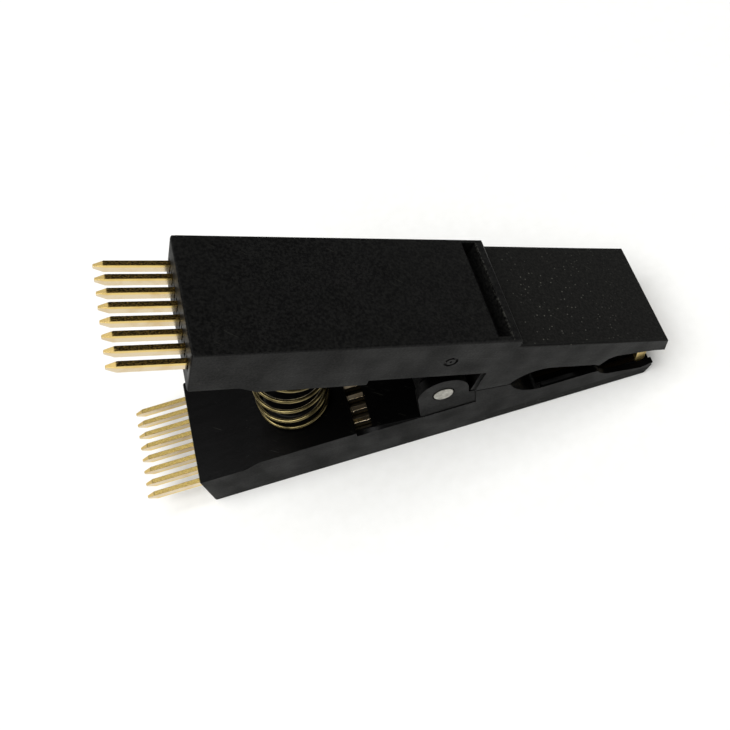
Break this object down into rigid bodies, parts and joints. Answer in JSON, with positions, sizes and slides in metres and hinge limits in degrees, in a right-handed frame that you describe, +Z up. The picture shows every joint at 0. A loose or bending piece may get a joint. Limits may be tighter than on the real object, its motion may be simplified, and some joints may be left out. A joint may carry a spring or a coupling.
{
  "type": "small-outline chip test clip",
  "caption": "Clothespin-style spring clip with rows of flat contacts that grip a surface-mount chip and bring its leads out to rear header pins.",
  "frame": {"origin": "middle of the clip's bounding box at the height of the lower arm's flat outer face, which it lies on", "axes": "+X along the lower arm towards the jaw, +Y across the arms along the hinge pin, +Z up from the lower arm's outer face"},
  "size_m": [0.0506, 0.0108, 0.0271],
  "materials": {
    "black_moulding": "black glass-filled moulding, satin on the rear and spark-textured on the nose",
    "black_insert": "plain black moulded strip",
    "steel_pin": "nickel-plated pin with turned ends",
    "spring_wire": "bright brass-coloured plated spring wire",
    "gold_contact": "gold-flashed stamped contact strip with dull sheared edges"
  },
  "bodies": {
    "lower_body": {"lower_arm": "black_moulding", "hinge_pin": "steel_pin", "coil_spring": "spring_wire", "lower_contact_retainer": "black_insert", "lower_contact_1": "gold_contact", "lower_contact_2": "gold_contact", "lower_contact_3": "gold_contact", "lower_contact_4": "gold_contact", "lower_contact_5": "gold_contact", "lower_contact_6": "gold_contact", "lower_contact_7": "gold_contact", "lower_contact_8": "gold_contact"},
    "upper_body": {"upper_arm": "black_moulding", "upper_contact_retainer": "black_insert", "upper_contact_1": "gold_contact", "upper_contact_2": "gold_contact", "upper_contact_3": "gold_contact", "upper_contact_4": "gold_contact", "upper_contact_5": "gold_contact", "upper_contact_6": "gold_contact", "upper_contact_7": "gold_contact", "upper_contact_8": "gold_contact"}
  },
  "joints": [
    {"name": "jaw_hinge", "type": "hinge", "parent": "lower_body", "child": "upper_body", "pos_m": [0.00389, 0, 0.0085], "axis": [0, -1, 0], "range_deg": [0, 24], "stiffness_Nm_per_rad": 0.023, "springref_deg": -25.21, "deforming": ["coil_spring"]}
  ]
}
